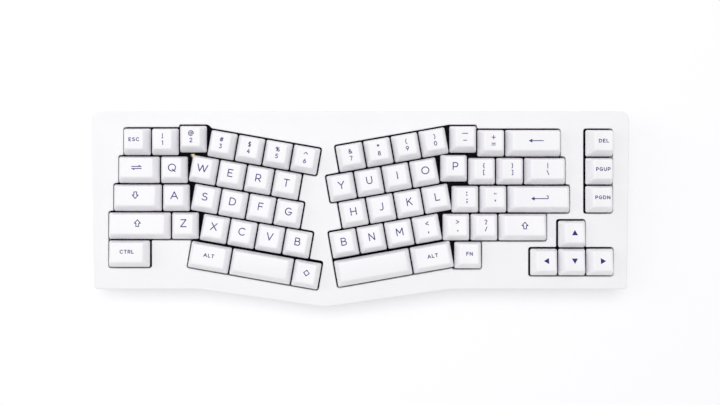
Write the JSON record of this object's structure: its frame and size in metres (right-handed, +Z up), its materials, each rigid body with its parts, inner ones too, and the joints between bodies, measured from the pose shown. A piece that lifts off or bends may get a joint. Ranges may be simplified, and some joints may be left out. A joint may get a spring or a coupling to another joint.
{
  "type": "ergonomic keyboard",
  "caption": "Angled split-layout ergonomic keyboard with pressable keys on a wedge-shaped two-part case.",
  "frame": {"origin": "middle of the footprint, on the surface the feet stand on", "axes": "+X to the right along the board, +Y away from the typist, +Z up"},
  "size_m": [0.3682, 0.1365, 0.0421],
  "materials": {
    "case_plastic": "fine matt moulded",
    "keycap_plastic": "fine grained PBT",
    "plate_metal": "dark navy powder coat",
    "board": "solder mask",
    "socket_steel": "bright stamped",
    "screw_steel": "zinc plated",
    "brass": "turned",
    "foot_rubber": "matt",
    "switch_plastic": "moulded nylon"
  },
  "bodies": {
    "case": {"bottom_case": "case_plastic", "case_screws": "screw_steel", "circuit_board": "board", "plate_screws": "brass", "plate_standoffs": "brass", "rubber_feet": "foot_rubber", "stabilizer_housings": "switch_plastic", "switch_housings": "switch_plastic", "switch_plate": "plate_metal", "top_case": "case_plastic", "usb_socket": "socket_steel"},
    "key_left_space": {"key_left_space": "keycap_plastic"},
    "key_right_space": {"key_right_space": "keycap_plastic"},
    "key_left_shift": {"key_left_shift": "keycap_plastic"},
    "key_enter": {"key_enter": "keycap_plastic"},
    "key_backspace": {"key_backspace": "keycap_plastic"},
    "left_letter_keys": {"left_letter_keys": "keycap_plastic"},
    "right_letter_keys": {"right_letter_keys": "keycap_plastic"},
    "key_escape": {"key_escape": "keycap_plastic"},
    "key_2": {"key_2": "keycap_plastic"},
    "key_minus": {"key_minus": "keycap_plastic"},
    "key_3": {"key_3": "keycap_plastic"},
    "key_6": {"key_6": "keycap_plastic"},
    "key_7": {"key_7": "keycap_plastic"},
    "key_0": {"key_0": "keycap_plastic"},
    "key_tab": {"key_tab": "keycap_plastic"},
    "key_caps": {"key_caps": "keycap_plastic"},
    "key_control": {"key_control": "keycap_plastic"},
    "key_left_alt": {"key_left_alt": "keycap_plastic"},
    "key_system": {"key_system": "keycap_plastic"},
    "key_right_alt": {"key_right_alt": "keycap_plastic"},
    "key_function": {"key_function": "keycap_plastic"},
    "key_right_shift": {"key_right_shift": "keycap_plastic"},
    "key_arrow_up": {"key_arrow_up": "keycap_plastic"},
    "key_arrow_left": {"key_arrow_left": "keycap_plastic"},
    "key_arrow_down": {"key_arrow_down": "keycap_plastic"},
    "key_arrow_right": {"key_arrow_right": "keycap_plastic"},
    "key_delete": {"key_delete": "keycap_plastic"},
    "key_page_up": {"key_page_up": "keycap_plastic"},
    "key_period": {"key_period": "keycap_plastic"},
    "key_1": {"key_1": "keycap_plastic"},
    "key_4": {"key_4": "keycap_plastic"},
    "key_5": {"key_5": "keycap_plastic"},
    "key_8": {"key_8": "keycap_plastic"},
    "key_9": {"key_9": "keycap_plastic"},
    "key_backslash": {"key_backslash": "keycap_plastic"},
    "key_comma": {"key_comma": "keycap_plastic"},
    "key_equals": {"key_equals": "keycap_plastic"},
    "key_left_bracket": {"key_left_bracket": "keycap_plastic"},
    "key_page_down": {"key_page_down": "keycap_plastic"},
    "key_quote": {"key_quote": "keycap_plastic"},
    "key_right_bracket": {"key_right_bracket": "keycap_plastic"},
    "key_semicolon": {"key_semicolon": "keycap_plastic"},
    "key_slash": {"key_slash": "keycap_plastic"}
  },
  "joints": [
    {"name": "left_space_press", "type": "slide", "parent": "case", "child": "key_left_space", "axis": [0, 0.1132, -0.9936], "range_m": [0, 0.004], "stiffness_N_per_m": 60, "springref_m": -0.005},
    {"name": "right_space_press", "type": "slide", "parent": "case", "child": "key_right_space", "axis": [0, 0.1132, -0.9936], "range_m": [0, 0.004], "stiffness_N_per_m": 60, "springref_m": -0.005},
    {"name": "left_shift_press", "type": "slide", "parent": "case", "child": "key_left_shift", "axis": [0, 0.1132, -0.9936], "range_m": [0, 0.004], "stiffness_N_per_m": 60, "springref_m": -0.005},
    {"name": "enter_press", "type": "slide", "parent": "case", "child": "key_enter", "axis": [0, 0.1132, -0.9936], "range_m": [0, 0.004], "stiffness_N_per_m": 60, "springref_m": -0.005},
    {"name": "backspace_press", "type": "slide", "parent": "case", "child": "key_backspace", "axis": [0, 0.1132, -0.9936], "range_m": [0, 0.004], "stiffness_N_per_m": 60, "springref_m": -0.005},
    {"name": "left_letter_keys_press", "type": "slide", "parent": "case", "child": "left_letter_keys", "axis": [0, 0.1132, -0.9936], "range_m": [0, 0.004], "stiffness_N_per_m": 900, "springref_m": -0.005},
    {"name": "right_letter_keys_press", "type": "slide", "parent": "case", "child": "right_letter_keys", "axis": [0, 0.1132, -0.9936], "range_m": [0, 0.004], "stiffness_N_per_m": 720, "springref_m": -0.005},
    {"name": "escape_press", "type": "slide", "parent": "case", "child": "key_escape", "axis": [0, 0.1132, -0.9936], "range_m": [0, 0.004], "stiffness_N_per_m": 60, "springref_m": -0.005},
    {"name": "2_press", "type": "slide", "parent": "case", "child": "key_2", "axis": [0, 0.1132, -0.9936], "range_m": [0, 0.004], "stiffness_N_per_m": 60, "springref_m": -0.005},
    {"name": "minus_press", "type": "slide", "parent": "case", "child": "key_minus", "axis": [0, 0.1132, -0.9936], "range_m": [0, 0.004], "stiffness_N_per_m": 60, "springref_m": -0.005},
    {"name": "3_press", "type": "slide", "parent": "case", "child": "key_3", "axis": [0, 0.1132, -0.9936], "range_m": [0, 0.004], "stiffness_N_per_m": 60, "springref_m": -0.005},
    {"name": "6_press", "type": "slide", "parent": "case", "child": "key_6", "axis": [0, 0.1132, -0.9936], "range_m": [0, 0.004], "stiffness_N_per_m": 60, "springref_m": -0.005},
    {"name": "7_press", "type": "slide", "parent": "case", "child": "key_7", "axis": [0, 0.1132, -0.9936], "range_m": [0, 0.004], "stiffness_N_per_m": 60, "springref_m": -0.005},
    {"name": "0_press", "type": "slide", "parent": "case", "child": "key_0", "axis": [0, 0.1132, -0.9936], "range_m": [0, 0.004], "stiffness_N_per_m": 60, "springref_m": -0.005},
    {"name": "tab_press", "type": "slide", "parent": "case", "child": "key_tab", "axis": [0, 0.1132, -0.9936], "range_m": [0, 0.004], "stiffness_N_per_m": 60, "springref_m": -0.005},
    {"name": "caps_press", "type": "slide", "parent": "case", "child": "key_caps", "axis": [0, 0.1132, -0.9936], "range_m": [0, 0.004], "stiffness_N_per_m": 60, "springref_m": -0.005},
    {"name": "control_press", "type": "slide", "parent": "case", "child": "key_control", "axis": [0, 0.1132, -0.9936], "range_m": [0, 0.004], "stiffness_N_per_m": 60, "springref_m": -0.005},
    {"name": "left_alt_press", "type": "slide", "parent": "case", "child": "key_left_alt", "axis": [0, 0.1132, -0.9936], "range_m": [0, 0.004], "stiffness_N_per_m": 60, "springref_m": -0.005},
    {"name": "system_press", "type": "slide", "parent": "case", "child": "key_system", "axis": [0, 0.1132, -0.9936], "range_m": [0, 0.004], "stiffness_N_per_m": 60, "springref_m": -0.005},
    {"name": "right_alt_press", "type": "slide", "parent": "case", "child": "key_right_alt", "axis": [0, 0.1132, -0.9936], "range_m": [0, 0.004], "stiffness_N_per_m": 60, "springref_m": -0.005},
    {"name": "function_press", "type": "slide", "parent": "case", "child": "key_function", "axis": [0, 0.1132, -0.9936], "range_m": [0, 0.004], "stiffness_N_per_m": 60, "springref_m": -0.005},
    {"name": "right_shift_press", "type": "slide", "parent": "case", "child": "key_right_shift", "axis": [0, 0.1132, -0.9936], "range_m": [0, 0.004], "stiffness_N_per_m": 60, "springref_m": -0.005},
    {"name": "arrow_up_press", "type": "slide", "parent": "case", "child": "key_arrow_up", "axis": [0, 0.1132, -0.9936], "range_m": [0, 0.004], "stiffness_N_per_m": 60, "springref_m": -0.005},
    {"name": "arrow_left_press", "type": "slide", "parent": "case", "child": "key_arrow_left", "axis": [0, 0.1132, -0.9936], "range_m": [0, 0.004], "stiffness_N_per_m": 60, "springref_m": -0.005},
    {"name": "arrow_down_press", "type": "slide", "parent": "case", "child": "key_arrow_down", "axis": [0, 0.1132, -0.9936], "range_m": [0, 0.004], "stiffness_N_per_m": 60, "springref_m": -0.005},
    {"name": "arrow_right_press", "type": "slide", "parent": "case", "child": "key_arrow_right", "axis": [0, 0.1132, -0.9936], "range_m": [0, 0.004], "stiffness_N_per_m": 60, "springref_m": -0.005},
    {"name": "delete_press", "type": "slide", "parent": "case", "child": "key_delete", "axis": [0, 0.1132, -0.9936], "range_m": [0, 0.004], "stiffness_N_per_m": 60, "springref_m": -0.005},
    {"name": "page_up_press", "type": "slide", "parent": "case", "child": "key_page_up", "axis": [0, 0.1132, -0.9936], "range_m": [0, 0.004], "stiffness_N_per_m": 60, "springref_m": -0.005},
    {"name": "period_press", "type": "slide", "parent": "case", "child": "key_period", "axis": [0, 0.1132, -0.9936], "range_m": [0, 0.004], "stiffness_N_per_m": 60, "springref_m": -0.005},
    {"name": "1_press", "type": "slide", "parent": "case", "child": "key_1", "axis": [0, 0.1132, -0.9936], "range_m": [0, 0.004], "stiffness_N_per_m": 60, "springref_m": -0.005},
    {"name": "4_press", "type": "slide", "parent": "case", "child": "key_4", "axis": [0, 0.1132, -0.9936], "range_m": [0, 0.004], "stiffness_N_per_m": 60, "springref_m": -0.005},
    {"name": "5_press", "type": "slide", "parent": "case", "child": "key_5", "axis": [0, 0.1132, -0.9936], "range_m": [0, 0.004], "stiffness_N_per_m": 60, "springref_m": -0.005},
    {"name": "8_press", "type": "slide", "parent": "case", "child": "key_8", "axis": [0, 0.1132, -0.9936], "range_m": [0, 0.004], "stiffness_N_per_m": 60, "springref_m": -0.005},
    {"name": "9_press", "type": "slide", "parent": "case", "child": "key_9", "axis": [0, 0.1132, -0.9936], "range_m": [0, 0.004], "stiffness_N_per_m": 60, "springref_m": -0.005},
    {"name": "backslash_press", "type": "slide", "parent": "case", "child": "key_backslash", "axis": [0, 0.1132, -0.9936], "range_m": [0, 0.004], "stiffness_N_per_m": 60, "springref_m": -0.005},
    {"name": "comma_press", "type": "slide", "parent": "case", "child": "key_comma", "axis": [0, 0.1132, -0.9936], "range_m": [0, 0.004], "stiffness_N_per_m": 60, "springref_m": -0.005},
    {"name": "equals_press", "type": "slide", "parent": "case", "child": "key_equals", "axis": [0, 0.1132, -0.9936], "range_m": [0, 0.004], "stiffness_N_per_m": 60, "springref_m": -0.005},
    {"name": "left_bracket_press", "type": "slide", "parent": "case", "child": "key_left_bracket", "axis": [0, 0.1132, -0.9936], "range_m": [0, 0.004], "stiffness_N_per_m": 60, "springref_m": -0.005},
    {"name": "page_down_press", "type": "slide", "parent": "case", "child": "key_page_down", "axis": [0, 0.1132, -0.9936], "range_m": [0, 0.004], "stiffness_N_per_m": 60, "springref_m": -0.005},
    {"name": "quote_press", "type": "slide", "parent": "case", "child": "key_quote", "axis": [0, 0.1132, -0.9936], "range_m": [0, 0.004], "stiffness_N_per_m": 60, "springref_m": -0.005},
    {"name": "right_bracket_press", "type": "slide", "parent": "case", "child": "key_right_bracket", "axis": [0, 0.1132, -0.9936], "range_m": [0, 0.004], "stiffness_N_per_m": 60, "springref_m": -0.005},
    {"name": "semicolon_press", "type": "slide", "parent": "case", "child": "key_semicolon", "axis": [0, 0.1132, -0.9936], "range_m": [0, 0.004], "stiffness_N_per_m": 60, "springref_m": -0.005},
    {"name": "slash_press", "type": "slide", "parent": "case", "child": "key_slash", "axis": [0, 0.1132, -0.9936], "range_m": [0, 0.004], "stiffness_N_per_m": 60, "springref_m": -0.005}
  ]
}
